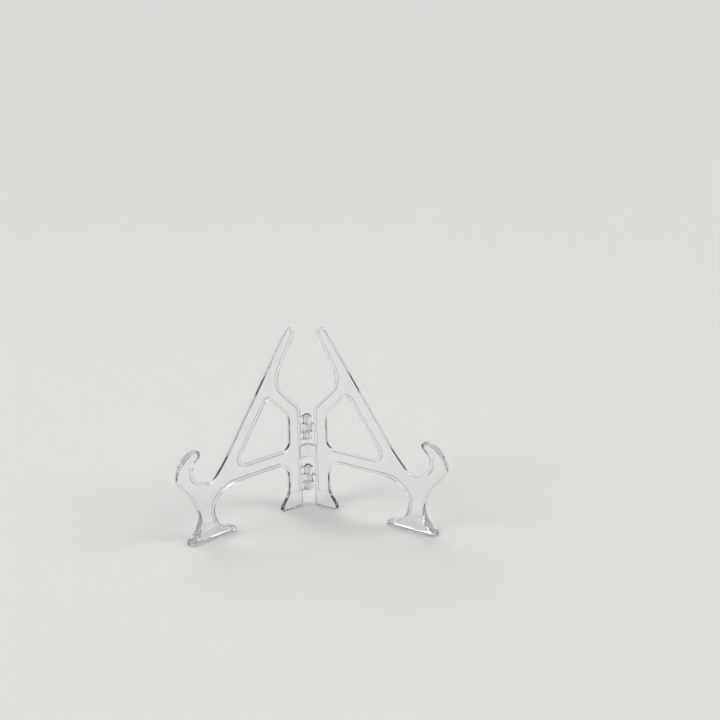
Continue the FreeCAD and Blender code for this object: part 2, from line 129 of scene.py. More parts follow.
# Stage
SOFT_BOXES = ((-0.75, -0.45, 0.6), (0.75, -0.25, 0.65), (-0.25, 0.8, 0.6))     # which way each one lies
BOX_EDGE = (0.6, 0.4)                   # where a box's light begins and is full, as shares of its width
HORIZON = (0.08, 0.22)                  # heights between which the surroundings dim
LAMP_PLACE, LAMP_AIM, LAMP_SIZE = (-0.3, 0.2, 1.6), (0, 0, 0.06), (1.4, 1.0)
FLOOR_STEPS = 96
SENSOR_WIDTH = 36
FARTHEST = 100


# ---------------------------------------------------------------- sizes and finishes


def length(name, millimetres, description):
    """A length property, with its default given in millimetres."""
    return bpy.props.FloatProperty(
        name=name, description=description, default=millimetres * MM,
        unit="LENGTH", subtype="DISTANCE", precision=5,
    )


def spot(name, behind, height, description):
    """A point of the outline: its distance behind the toe line and its height, given in millimetres."""
    return bpy.props.FloatVectorProperty(
        name=name, description=description, default=(behind * MM, height * MM), size=2,
        unit="LENGTH", precision=5,
    )


def angle(name, degrees, description):
    """An angle property, with its default given in degrees."""
    return bpy.props.FloatProperty(
        name=name, description=description, default=math.radians(degrees), unit="ROTATION", subtype="ANGLE"
    )


def share(name, value, description):
    """A property from 0 to 1."""
    return bpy.props.FloatProperty(
        name=name, description=description, default=value, min=0, max=1, subtype="FACTOR"
    )


def plain_number(name, value, description):
    """A plain number that isn't negative."""
    return bpy.props.FloatProperty(name=name, description=description, default=value, min=0)


def colour(name, value, description):
    """A colour property."""
    return bpy.props.FloatVectorProperty(
        name=name, description=description, default=value, size=3, min=0, max=1, subtype="COLOR"
    )


class StandOutline(bpy.types.PropertyGroup):
    """Outline of a side frame; distances along it are counted back from the toe line."""

    frame_reach: length("Reach", 123.4, "Hinge axis to the toe line")
    back_height: length("Back height", 146.0, "Top of the back arm before its corners are rounded")
    rest_angle: angle("Rest angle", 38.7, "Lean of the back arm from the vertical")
    hook_height: length("Hook height", 71.6, "Top of the front hook")
    hook_radius: length("Hook radius", 21.0, "Outer curve of the hook")
    hook_centre: length("Hook centre", 5.0, "Centre of that curve behind the toe line")
    hook_turn: angle("Hook turn", 66.0, "Angle that the curve covers, down from its top")
    hook_cheek: length("Hook cheek", 5.6, "Straight run below the curve")
    hook_tip: length("Hook tip", 8.4, "Hook's tip behind the toe line")
    hook_tip_thick: length("Tip thickness", 5.2, "Hook's tip from top to underside")
    hook_tip_lean: length("Tip lean", 1.0, "How far the tip's underside stands forward of its top")
    bulge_radius: length("Bulge radius", 10.0, "Corner under the hook's cheek")
    throat: spot("Throat", 1.3, 61.2, "Middle of the slot's front wall")
    slot_front: spot("Slot front", 1.5, 51.3, "Bottom of the slot's front wall")
    slot_width: length("Slot width", 23.0, "Slot along the frame at its floor")
    slot_floor: length("Slot floor", 43.8, "Height of the slot's floor")
    sole_front: length("Sole front", 3.8, "Front of the sole, ahead of the toe line")
    toe_nose: spot("Toe nose", -4.2, 2.6, "Foremost point of the foot")
    instep: spot("Instep", 4.7, 9.0, "Hollow above the toe")
    shin: spot("Shin", 7.6, 20.7, "Front of the leg's waist")
    knee: spot("Knee", 2.0, 31.8, "Front of the leg above its waist")
    chest: spot("Chest", -9.9, 44.2, "Front of the hook's stem")
    foot_length: length("Foot length", 41.8, "Rear end of the front foot behind the toe line")
    toe_height: length("Toe height", 4.4, "Height of the toes")
    heel: spot("Heel", 27.6, 7.6, "Hollow above the front foot's rear end")
    calf: spot("Calf", 21.6, 17.1, "Back of the leg's waist")
    arch_foot: spot("Arch foot", 23.1, 27.8, "Front end of the arch")
    arch_front: length("Arch front", 37.1, "Where the rail's underside begins")
    arch_height: length("Arch height", 37.0, "Underside of the rail")
    rail_depth: length("Rail depth", 12.0, "Rail between the arch and the window")
    arm_width: length("Arm width", 13.0, "Back arm at its root")
    arm_tip_width: length("Arm tip width", 9.6, "Back arm at its tip")
    brace_height: length("Brace height", 104.0, "Where the rear brace leaves the arm")
    brace_depth: length("Brace depth", 12.0, "Rear brace across its length")
    brace_radius: length("Brace radius", 14.0, "Corner between arm and brace")
    post_width: length("Post width", 13.0, "Rear post")
    post_gap: length("Post gap", 6.0, "Hinge axis to the rear edge of the post")
    post_height: length("Post height", 79.0, "Top of the rear post")
    rear_foot_length: length("Rear foot length", 22.5, "Rear foot along the frame")
    rear_shin: length("Rear shin", 1.5, "How far the post's lower part stands before the window's edge")
    rear_shin_height: length("Rear shin height", 13.0, "Height of the rear foot's hollow")


class StandSection(bpy.types.PropertyGroup):
    """Thicknesses across the frame, the flutes, and the hinge parts."""

    web_thick: length("Web", 2.4, "Plate between the rims")
    rim_thick: length("Rim", 3.4, "Rim round every edge, across the plate")
    rim_depth: length("Rim depth", 2.2, "Rim measured in from the edge")
    rim_step: length("Rim step", 0.7, "Run of the slope between rim and web")
    edge_share: share("Edge rounding", 0.8, "Rounding of the rim's edges, as a share of half its thickness")
    flare_share: share("Flare rounding", 0.4, "The same for what a flare adds to the rim")
    toe_round: length("Toe rounding", 5.5, "Rounding of the front foot's ends, seen from above")
    foot_recess: length("Foot recess", 12.0, "Height to which the web's recess runs down into the front foot")
    recess_blend: length("Recess blend", 9.0, "Run over which the recess fades out there")
    hook_recess: length("Hook recess", 62.0, "Height to which the web's recess runs up into the hook")
    sole_radius: length("Sole rounding", 0.8, "Rounding where the feet meet the table")
    parting_height: length("Parting line", 0.05, "Witness line round the middle of the edges")
    parting_width: length("Parting line width", 0.22, "Half the width of that line")
    foot_width: length("Foot width", 10.6, "Front foot across the plate")
    foot_flare: length("Foot flare", 30.0, "Height at which the foot has narrowed to the rim")
    rear_foot_width: length("Rear foot width", 4.0, "Rear foot across the plate")
    rear_foot_flare: length("Rear foot flare", 12.0, "Height at which the rear foot has narrowed to the rim")
    hook_width: length("Hook width", 8.6, "Hook's tip across the plate")
    hook_flare: length("Hook flare", 20.0, "Length over which the hook widens from the rim")
    flare_blend: length("Flare blend", 4.0, "Run over which the web's recess fades into a flare")
    flute_radius: length("Flute radius", 0.9, "Flutes over the front of the hook")
    flute_pitch: length("Flute pitch", 2.5, "Spacing of the flutes")
    flute_start: angle("Flute start", 42.0, "Angle round the hook at which the flutes start, from level")
    knuckle_radius: length("Knuckle radius", 3.8, "Outside of a knuckle")
    knuckle_length: length("Knuckle length", 6.0, "Each knuckle along the axis")
    knuckle_gap: length("Knuckle gap", 0.25, "Between neighbouring knuckles")
    knuckle_edge: length("Knuckle edge", 0.35, "Rounding of a knuckle's ends")
    knuckle_root: length("Knuckle root", 0.8, "Rounding between a knuckle and its leaf")
    leaf_inset: length("Leaf inset", 0.06, "How far a leaf's faces lie inside the rim's")
    pin_tip_length: length("Pin tip", 1.2, "Pin beyond the last knuckle")
    pin_chamfer: length("Pin chamfer", 0.4, "Pin's tip")
    pin_head_height: length("Pin head", 1.4, "Height of a pin's head")
    pin_radius: length("Pin radius", 1.5, "Hinge pin")
    bore_gap: length("Bore gap", 0.03, "Pin to the bores round it")
    stop_height: length("Stop height", 38.0, "Bottom of the stop tab")
    stop_length: length("Stop length", 10.0, "Stop tab along the axis")
    stop_gap: length("Stop gap", 0.08, "Each stop face to the middle of the stand")
    step: length("Step", 1.5, "Longest distance between points along an edge")
    bend: angle("Bend", 6.0, "Most turning between points along an edge")
    flute_steps: bpy.props.IntProperty(
        name="Flute steps", description="Points across each flute", default=9, min=5
    )


class StandFinish(bpy.types.PropertyGroup):
    """Colours and surface of the plastic, with the painted shade on its edges and a painted dark reflection in
    its flutes.
    """

    clear_tint: colour("Clear plastic", (0.975, 0.985, 0.985), "Tint of the frames")
    pin_tint: colour("Pin plastic", (0.93, 0.95, 0.955), "Tint of the hinge pins")
    # Painted shade where the plastic is seen edge-on and on its rounded edges, standing in for the dark lines
    # that refraction draws there
    edge_painted_shade: colour("Edges", (0.84, 0.85, 0.84), "Tint where the plastic is seen edge-on")
    # Painted dark reflection in the depth of the flutes
    flute_painted_reflection: colour("Flutes", (0.30, 0.28, 0.26), "Tint in the depth of the flutes")
    dust_tint: colour("Dust", (0.86, 0.85, 0.83), "Dust that has settled on the plastic")
    clear_roughness: share("Roughness", 0.0, "Polish of the frames")
    pin_roughness: share("Pin roughness", 0.08, "Polish of the pins")
    refraction: plain_number("Refractive index", 1.49, "Refractive index of clear plastic")


class StandStage(bpy.types.PropertyGroup):
    """Floor, lights and camera."""

    floor_colour: colour("Floor", (0.80, 0.795, 0.78), "Plain pale floor")
    floor_radius: length("Floor radius", 14000.0, "Round floor under the stand")
    sky_colour: colour("Surroundings", (0.97, 0.965, 0.955), "Pale studio round the stand")
    surround: share("Surround", 0.78, "Brightness of the surroundings near the horizon")
    fill: share("Fill", 0.42, "Brightness of the surroundings above that")
    box_size: angle("Soft box", 32.0, "How wide each soft box looks from the stand")
    box_light: plain_number("Box light", 3.5, "Brightness of the boxes")
    lamp_power: plain_number("Top lamp", 1.0, "Power of the top lamp")
    camera_place: bpy.props.FloatVectorProperty(
        name="Camera", description="Where the camera stands", default=(-0.0413, -1.3724, 0.4826),
        subtype="XYZ",
    )
    camera_pitch: angle("Pitch", 14.52, "How far the camera looks down")
    camera_yaw: angle("Yaw", 3.371, "How far the camera looks to the right of straight back")
    camera_roll: angle("Roll", 1.145, "Clockwise lean of the camera")
    camera_lens: plain_number("Lens", 95.0, "Focal length in millimetres")


# ---------------------------------------------------------------- loops in a plane


def rounded_loop(corners):
    """A closed loop through corners that are rounded by tangent arcs, as points.

    A corner is (x, y, radius), and a radius of None takes as much of the shorter run as CORNER_SHARE allows.
    An arc's centre lies on its corner's bisector, at the radius over the cosine of half the turn.  A point on
    the arc is the centre plus the radius times (cosine of its angle along the first spoke + sine along the run
    that arrives).
    """
    points = np.array([corner[:2] for corner in corners], float)
    wanted = np.array([np.inf if corner[2] is None else corner[2] for corner in corners])
    before = np.roll(points, 1, axis=0) - points
    after = np.roll(points, -1, axis=0) - points
    run_before = np.linalg.norm(before, axis=1, keepdims=True)
    run_after = np.linalg.norm(after, axis=1, keepdims=True)
    before /= run_before
    after /= run_after
    half_turn = (np.pi - np.arccos(np.clip((before * after).sum(1), -1, 1))) / 2
    shorter = np.minimum(run_before, run_after)[:, 0]
    radius = np.where(np.isinf(wanted), CORNER_SHARE * shorter / np.tan(half_turn), wanted)[:, None]
    bisector = before + after
    bisector /= np.linalg.norm(bisector, axis=1, keepdims=True)
    centre = points + bisector * radius / np.cos(half_turn)[:, None]
    spoke = points + before * radius * np.tan(half_turn)[:, None] - centre
    swing = np.linspace(0, 1, ARC_STEPS)[None, :, None] * 2 * half_turn[:, None, None]
    arcs = centre[:, None] + np.cos(swing) * spoke[:, None] - np.sin(swing) * (before * radius)[:, None]
    return arcs.reshape(-1, 2)


def spaced(loop, step, bend):
    """The closed loop with its points spread by effort.

    A run's effort is its length over step plus its turning over bend.
    """
    leg = np.roll(loop, -1, axis=0) - loop
    run = np.linalg.norm(leg, axis=1)
    loop, leg, run = loop[run > TINY], leg[run > TINY], run[run > TINY]
    heading = np.arctan2(leg[:, 1], leg[:, 0])
    turning = np.abs((np.diff(heading, append=heading[:1]) + np.pi) % (2 * np.pi) - np.pi)
    effort = run / step + (turning + np.roll(turning, 1)) / (2 * bend)
    total = np.concatenate([[0], np.cumsum(effort)])
    closed = np.vstack([loop, loop[:1]])
    at = np.linspace(0, total[-1], math.ceil(total[-1]), endpoint=False)
    return np.column_stack([np.interp(at, total, closed[:, axis]) for axis in (0, 1)])


def run_round(loop, leftwards):
    """The loop run anticlockwise if leftwards and else clockwise, told by the sign of its area."""
    x, y = loop.T
    area = (x * np.roll(y, -1) - y * np.roll(x, -1)).sum()
    return loop if (area > 0) == leftwards else loop[::-1]


def inward(loop):
    """Unit normals to the left of a loop's run, each square to the chord between its two neighbours."""
    chord = np.roll(loop, -1, axis=0) - np.roll(loop, 1, axis=0)
    normal = np.column_stack([-chord[:, 1], chord[:, 0]])
    return normal / np.linalg.norm(normal, axis=1, keepdims=True)


def room(loop, normals, edges):
    """Radius of the largest circle that touches the loop at each point and holds no edge point.

    It lies on the side of the point's normal.  The circle that touches at p, with the normal n, and passes
    through q has the radius |q - p|^2 / (2 n.(q - p)).
    """
    reach = edges[None] - loop[:, None]
    toward = np.einsum("ijk,ik->ij", reach, normals)
    square = (reach**2).sum(2)
    return np.where(toward > TINY, square / (2 * np.maximum(toward, TINY)), np.inf).min(1)


def inside(points, loop):
    """Whether each point lies in a loop: a ray from it to the right crosses the loop an odd number of times."""
    x, y = points[:, :1], points[:, 1:]
    x0, y0 = loop.T
    x1, y1 = np.roll(loop, -1, axis=0).T
    crosses = (y0 > y) != (y1 > y)
    slope = (x1 - x0) / np.where(y1 == y0, 1, y1 - y0)
    return (crosses & (x < x0 + (y - y0) * slope)).sum(1) % 2 == 1


def ease(value):
    """0 below 0 and 1 above 1, and 3 v^2 - 2 v^3 between."""
    value = np.clip(value, 0, 1)
    return value * value * (3 - 2 * value)


# ---------------------------------------------------------------- solids


def mesh_object(name, points, faces, material):
    """A mesh object at the origin, in one material, with its faces turned outwards."""
    mesh = bpy.data.meshes.new(name)
    mesh.from_pydata(points, [], faces)
    shell = bmesh.new()
    shell.from_mesh(mesh)
    bmesh.ops.recalc_face_normals(shell, faces=shell.faces)
    shell.to_mesh(mesh)
    shell.free()
    mesh.materials.append(material)
    made = bpy.data.objects.new(name, mesh)
    bpy.context.scene.collection.objects.link(made)
    return made


def grid_faces(rows, columns, first=0):
    """Quads of a grid of points that is closed from its last row back to its first."""
    number = first + np.arange(rows * columns).reshape(rows, columns)
    after = np.roll(number, -1, axis=0)
    quads = np.stack([number[:, :-1], after[:, :-1], after[:, 1:], number[:, 1:]], axis=-1)
    return quads.reshape(-1, 4)


def face_fill(rims, inner):
    """Triangles between closed rims, the first of which is outside, through inner points.

    They are those of a Delaunay net that lie in the material.
    """
    sizes = [len(rim) for rim in rims]
    starts = np.cumsum([0] + sizes[:-1])
    edges = [
        (int(start + i), int(start + (i + 1) % size))
        for start, size in zip(starts, sizes)
        for i in range(size)
    ]
    points = np.vstack(rims + [inner])
    _, _, faces, origin, _, _ = delaunay_2d_cdt([Vector(p) for p in points], edges, [], 1, TINY)
    number = np.array([ids[0] for ids in origin])
    triangles = number[np.array(faces)]
    middle = points[triangles].mean(1)
    kept = inside(middle, rims[0])
    for rim in rims[1:]:
        kept &= ~inside(middle, rim)
    return triangles[kept]


def slab(outline, holes, half, edge, rings, columns, carve=None, inner=None):
    """Points and faces of a flat moulding with rounded edges.

    The profile that runs along every loop is: one face's rings at their depths, the edge's columns, and the
    other face's rings.  A face ring stands at half(points, depth) across the slab.  The edge is a flat strip
    between two quarter rounds of radius edge(points, normals), so at the distance y across it lies inwards by
    r - root(r^2 - t^2), where t is how far y passes the flat strip.  Its columns are those asked for, drawn
    together to stay on the first ROUND_SHARE of the round, and then even steps to the face.
    carve(points, across, depth) works on it further.
    """
    loops = [run_round(outline, True)] + [run_round(hole, False) for hole in holes]
    edges = np.vstack(loops)
    points, faces, rims, first = [], [], [], 0
    for loop in loops:
        normals = inward(loop)
        space = ROOM_SHARE * room(loop, normals, edges)[:, None]
        corner = np.minimum(edge(loop, normals)[:, None], space * EDGE_ROOM)
        wished = corner + np.array(rings)[None]
        depth = corner + (wished - corner) * np.minimum(1, (space - corner) / max(rings[-1], TINY))
        height = half(loop[:, None] + normals[:, None] * depth[..., None], depth)
        flat = height[:, :1] - corner
        column = columns[None] * np.minimum(1, (flat + ROUND_SHARE * corner) / columns[0])
        past = np.clip(np.abs(column) - flat, 0, None)
        start = np.arcsin(np.clip(past[:, :1] / corner, 0, 1))
        swing = start + (np.pi / 2 - start) * np.array([ROUND_STEPS])
        up, dip = flat + corner * np.sin(swing), corner * (1 - np.cos(swing))
        flush = corner - np.sqrt(corner**2 - past**2)
        if carve is not None:
            flush = carve(loop, column, flush)
        across = np.hstack([height[:, ::-1], up[:, ::-1], column, -up, -height])
        into = np.hstack([depth[:, ::-1], dip[:, ::-1], flush, dip, depth])
        place = loop[:, None] + normals[:, None] * into[..., None]
        points.append(np.dstack([place, across]).reshape(-1, 3))
        faces += grid_faces(len(loop), across.shape[1], first).tolist()
        number = first + np.arange(across.size).reshape(across.shape)
        rims.append((place[:, 0], number[:, 0], number[:, -1]))
        first += across.size
    lines = [rim[0] for rim in rims]
    inner = np.zeros((0, 2)) if inner is None else spread_inside(lines, *inner)
    triangles = face_fill(lines, inner)
    for side, which in ((1, 1), (-1, 2)):
        rise = side * half(inner[:, None], np.full((len(inner), 1), 1.0))[:, 0]
        points.append(np.column_stack([inner, rise]))
        number = np.concatenate([rim[which] for rim in rims] + [first + np.arange(len(inner))])
        faces += number[triangles].tolist()
        first += len(inner)
    return np.vstack(points), faces


def spread_inside(rims, spots, spacing):
    """Those spots that lie in the material and stay clear of its rims by half their own spacing."""
    kept = inside(spots, rims[0])
    for rim in rims[1:]:
        kept &= ~inside(spots, rim)
    spots = spots[kept]
    nearest = np.linalg.norm(spots[:, None] - np.vstack(rims)[None], axis=2).min(1)
    return spots[nearest > spacing / 2]


def turned(profile, turns):
    """Points and faces of a turned shape with a pole at each end.

    The point at angle t is (radius cos t, radius sin t, height).
    """
    angles = np.linspace(0, 2 * np.pi, turns, endpoint=False)[:, None]
    radius, height = profile[1:-1].T
    heights = np.broadcast_to(height, (turns, len(height)))
    ring = np.dstack([radius * np.cos(angles), radius * np.sin(angles), heights])
    poles = [(0, 0, profile[0, 1]), (0, 0, profile[-1, 1])]
    points = np.vstack([ring.reshape(-1, 3), poles])
    number = np.arange(turns * len(height)).reshape(turns, -1)
    after = np.roll(number, -1, axis=0)
    faces = grid_faces(turns, len(height)).tolist()
    for pole, column in ((len(points) - 2, 0), (len(points) - 1, -1)):
        faces += np.column_stack([number[:, column], after[:, column], np.full(turns, pole)]).tolist()
    return points, faces


def joined(name, solids):
    """One solid of several that overlap, with the first one's material."""
    base, others = solids[0], solids[1:]
    for other in others:
        union = base.modifiers.new("Join", "BOOLEAN")
        union.operation = "UNION"
        union.solver = "EXACT"
        union.object = other
    bpy.context.view_layer.update()
    mesh = bpy.data.meshes.new_from_object(base.evaluated_get(bpy.context.evaluated_depsgraph_get()))
    for solid in solids:
        bpy.data.objects.remove(solid)
    mesh.name = name
    made = bpy.data.objects.new(name, mesh)
    bpy.context.scene.collection.objects.link(made)
    return made


def smooth(made):
    """Smooth faces with edges sharp over SHARP_ANGLE, and normals that follow the larger faces."""
    made.data.shade_smooth()
    made.data.set_sharp_from_angle(angle=SHARP_ANGLE)
    weighted = made.modifiers.new("Even normals", "WEIGHTED_NORMAL")
    weighted.keep_sharp = True
    return made


# ---------------------------------------------------------------- side frames


def arm_front(v, z):
    """Distance behind the toe line of the back arm's front edge, at height z."""
    return v.slot_front[0] + v.slot_width + (z - v.slot_floor) * math.tan(v.rest_angle)


def arm_back(v, z, width):
    """The same for its rear edge, where the arm is that wide."""
    return arm_front(v, z) + width / math.cos(v.rest_angle)


def frame_corners(v):
    """Corners of a frame's outline as (distance behind the toe line, height, radius)."""
    shoulder = v.hook_centre - v.hook_radius * math.sin(v.hook_turn)
    shoulder_height = v.hook_height - v.hook_radius * (1 - math.cos(v.hook_turn))
    bulge = shoulder - v.hook_cheek * math.cos(v.hook_turn)
    bulge_height = shoulder_height - v.hook_cheek * math.sin(v.hook_turn)
    front_leg = [
        (-v.sole_front, 0.0, SOLE_ROUND),
        (*v.toe_nose, TOE_NOSE_ROUND),
        (*v.instep, None),
        (*v.shin, None),
        (*v.knee, None),
        (*v.chest, None),
        (bulge, bulge_height, v.bulge_radius),
    ]
    hook = [
        (v.hook_centre - v.hook_radius * math.tan(v.hook_turn / 2), v.hook_height, v.hook_radius),
        (v.hook_tip, v.hook_height, v.hook_tip_thick / 2),
        (v.hook_tip - v.hook_tip_lean, v.hook_height - v.hook_tip_thick, TIP_UNDER_SHARE * v.hook_tip_thick),
        (*v.throat, None),
        (*v.slot_front, None),
        *((v.slot_front[0] + along * v.slot_width, v.slot_floor + rise, None) for along, rise in SLOT_FLOOR),
    ]
    arm_root = v.slot_floor + v.arm_width
    arm_top = v.back_height - v.arm_tip_width / 2
    arm = [
        (arm_front(v, arm_root), arm_root, None),
        (arm_front(v, v.back_height), v.back_height, CORNER_SHARE * v.arm_tip_width),
        (arm_back(v, arm_top, v.arm_tip_width), arm_top, CORNER_SHARE * v.arm_tip_width),
        (arm_back(v, v.brace_height, v.arm_width), v.brace_height, v.brace_radius),
    ]
    post_rear = v.frame_reach - v.post_gap
    post_front = post_rear - v.post_width
    rear_toe = post_rear - v.rear_foot_length
    rear = [
        (post_rear, v.post_height, POST_TOP_SHARE * v.post_width),
        (post_rear, 0.0, REAR_HEEL_ROUND),
        (rear_toe, 0.0, REAR_TOE_ROUND),
        (rear_toe, v.toe_height, None),
        (post_front - v.rear_shin, v.rear_shin_height, None),
        (post_front - v.rear_shin, v.arch_height, None),
    ]
    arch = [
        (v.arch_front, v.arch_height, None),
        (*v.arch_foot, None),
        (*v.calf, None),
        (*v.heel, None),
        (v.foot_length, v.toe_height, HEEL_TIP_ROUND),
        (v.foot_length, 0.0, SOLE_ROUND),
    ]
    return front_leg + hook + arm + rear + arch


def window_corners(v):
    """Corners of the window between the arm, the rail and the rear post, in the same terms."""
    sill = v.arch_height + v.rail_depth
    post_rear = v.frame_reach - v.post_gap
    post_front = post_rear - v.post_width
    brace_start = arm_back(v, v.brace_height, v.arm_width)
    brace_slope = (v.post_height - v.brace_height) / (post_rear - brace_start)
    drop = v.brace_depth * math.hypot(1, brace_slope)
    lean = 1 / math.tan(v.rest_angle)
    arm_foot = arm_back(v, sill, v.arm_width)
    apex = (v.brace_height - drop - sill - brace_slope * brace_start + lean * arm_foot) / (lean - brace_slope)
    return [
        (arm_foot, sill, WINDOW_FRONT_ROUND),
        (apex, sill + (apex - arm_foot) * lean, WINDOW_FRONT_ROUND),
        (post_front, v.post_height - drop - brace_slope * v.post_width, WINDOW_REAR_ROUND),
        (post_front, sill, WINDOW_REAR_ROUND),
    ]


def from_axis(v, corners):
    """Those corners with their distances counted from the hinge axis."""
    return [(v.frame_reach - back, z, radius) for back, z, radius in corners]


def swelling(z, narrow, wide, slim, full):
    """Half the thickness of a flare at height z, on an arc that leaves the rim at slim and is wide at full.

    With rise = wide - narrow and run = full - slim, the arc's radius is (rise^2 + run^2) / (2 rise), and the
    half thickness is narrow + radius - the root of (radius^2 - (z - slim)^2).
    """
    rise = wide - narrow
    run = full - slim
    radius = (rise**2 + run**2) / (2 * rise)
    along = np.clip((z - slim) / run, 0, 1) * run
    return narrow + radius - np.sqrt(radius**2 - along**2)


def half_thickness(v, s):
    """A function of points (from the hinge axis, up) and their depth: half the moulding's thickness there.

    It is the rim's or the widest flare's, less the web's recess where the depth passes the rim and no flare is
    near.  The front foot's flare is rounded at its ends: it is multiplied by the root of 1 - (1 - distance from
    the end over the rounding)^2.
    """
    rim = s.rim_thick / 2
    slim = v.hook_height - s.hook_flare

    def half(spots, depth):
        behind = v.frame_reach - spots[..., 0]
        z = spots[..., 1]
        in_hook = behind < v.hook_tip + s.flare_blend
        in_foot = behind < v.foot_length + s.flare_blend
        in_heel = behind > v.frame_reach - v.post_gap - v.rear_foot_length - s.flare_blend
        hook = swelling(z, rim, s.hook_width / 2, slim, v.hook_height)
        foot = swelling(z, rim, s.foot_width / 2, s.foot_flare, 0.0)
        heel = swelling(z, rim, s.rear_foot_width / 2, s.rear_foot_flare, 0.0)
        from_end = np.minimum(behind - v.toe_nose[0], v.foot_length - behind) / s.toe_round
        foot = rim + (foot - rim) * np.sqrt(1 - (1 - np.clip(from_end, FOOT_END, 1)) ** 2)
        top = np.where(in_hook, hook, rim)
        top = np.maximum(top, np.where(in_foot, foot, rim))
        top = np.maximum(top, np.where(in_heel, heel, rim))
        past_rim = ease((depth - s.rim_depth + s.rim_step / 2) / s.rim_step)
        clear = np.where(in_foot, ease((z - s.foot_recess) / s.recess_blend + 0.5), 1)
        clear *= np.where(in_heel, ease((z - s.rear_foot_flare) / s.flare_blend + 0.5), 1)
        clear *= np.where(in_hook, ease((s.hook_recess - z) / s.flare_blend + 0.5), 1)
        return top - (s.rim_thick - s.web_thick) / 2 * past_rim * clear

    return half


def flute_columns(s):
    """Positions across the edge that suit the flutes: even steps round each half circle, and the lands."""
    swing = np.cos(np.linspace(0, np.pi, s.flute_steps)) * s.flute_radius
    lines = np.concatenate([place * s.flute_pitch + swing for place in FLUTES])
    margin = s.flute_pitch + s.flute_radius + FLUTE_MARGIN
    return np.concatenate([[margin], lines, [-margin]])


def edge_rounding(v, s):
    """A function of edge points and their inward normals: the rounding's radius there.

    It is a share of the half thickness, and smaller where the edge looks down at the table.
    """
    half = half_thickness(v, s)

    def edge(loop, normals):
        wide = half(loop, np.zeros(len(loop)))
        rim = s.rim_thick / 2
        full = s.edge_share * rim + s.flare_share * (wide - rim)
        down = ease((normals[:, 1] - 0.5) * 4) * ease(2 - loop[:, 1] / s.sole_radius)
        return full + (np.minimum(full, s.sole_radius) - full) * down

    return edge


def edge_carving(v, s):
    """A function of edge points, positions across and depth: the depth with the flutes and the parting line.

    A flute is a tube of the flute's radius round the hook's outer circle.  At a point of the edge it goes in by
    the root of (radius^2 - distance across^2) plus the point's height over the circle.  Before its start the
    distance back round the circle counts as well, which closes it with a quarter of a ball.  The parting line
    is a ridge of triangular section, left out at the soles.
    """
    centre = np.array([v.frame_reach - v.hook_centre, v.hook_height - v.hook_radius])

    def carve(loop, across, depth):
        arm = loop - centre
        far = np.linalg.norm(arm, axis=1)[:, None]
        swing = np.arctan2(arm[:, 1], arm[:, 0])[:, None]
        short = np.clip(s.flute_start - swing, 0, None) * v.hook_radius
        on_hook = (np.abs(far - v.hook_radius) < s.flute_radius) & (swing > 0)
        on_hook &= arm[:, :1] > v.hook_centre - HOOK_REACH * v.hook_tip
        deepest = np.zeros_like(across)
        for place in FLUTES:
            beside = across - place * s.flute_pitch
            square = s.flute_radius**2 - beside**2 - short**2
            cut = far - v.hook_radius + np.sqrt(np.maximum(square, 0))
            deepest = np.maximum(deepest, np.where((square > 0) & on_hook, cut, 0))
        ridge = s.parting_height * np.clip(1 - np.abs(across) / s.parting_width, 0, None)
        ridge = ridge * (loop[:, 1:] > s.sole_radius)
        return np.where(deepest > 0, np.maximum(deepest, depth), depth - ridge)

    return carve


def inner_spots(v, s):
    """Points in rows where the faces curve (front leg, hook and rear foot), and their spacing."""
    reach = np.arange(0, v.frame_reach + v.hook_radius, FACE_SPACING)
    height = np.arange(0, v.hook_height, FACE_SPACING)
    x, z = np.meshgrid(reach, height)
    x = x + FACE_SPACING / 2 * (np.arange(len(height)) % 2)[:, None]
    spots = np.column_stack([x.ravel(), z.ravel()])
    behind = v.frame_reach - spots[:, 0]
    up = spots[:, 1]
    leg = (behind < v.foot_length + s.flare_blend) & (up < s.foot_flare + s.flare_blend)
    hook = (behind < v.hook_tip) & (up > v.hook_height - s.hook_flare - s.flare_blend)
    heel = behind > v.frame_reach - v.post_gap - v.rear_foot_length
    heel &= up < s.rear_foot_flare + s.flare_blend
    return spots[leg | hook | heel], FACE_SPACING


def plate_solid(v, s):
    """Points and faces of a frame's moulding without its hinge parts, as (from the axis, across, up)."""
    outline, window = (
        spaced(rounded_loop(from_axis(v, corners)), s.step, s.bend)
        for corners in (frame_corners(v), window_corners(v))
    )
    slope = s.rim_step * np.array(RING_STEPS)
    rings = [0, *(s.rim_depth - s.edge_share * s.rim_thick / 2 + slope)]
    points, faces = slab(
        outline, [window], half_thickness(v, s), edge_rounding(v, s), rings,
        flute_columns(s), edge_carving(v, s), inner_spots(v, s),
    )
    return points[:, [0, 2, 1]], faces


def plain_solid(outline, holes, tall, bottom, rounding):
    """Points and faces of an upright block of that outline, with rounded ends."""

    def half(spots, depth):
        return np.full(depth.shape, tall / 2)

    def edge(loop, normals):
        return np.full(len(loop), rounding)

    columns = tall / 2 * np.array(END_COLUMNS)
    points, faces = slab(outline, holes, half, edge, [0], columns)
    points[:, 2] += bottom + tall / 2
    return points, faces


def leaf(v, s):
    """A leaf's inner and outer face, across, and its end in the post's rim, from the axis."""
    inner = s.knuckle_radius - s.rim_thick + s.leaf_inset
    outer = s.knuckle_radius - s.leaf_inset
    return inner, outer, v.post_gap + s.rim_depth * LEAF_LAP


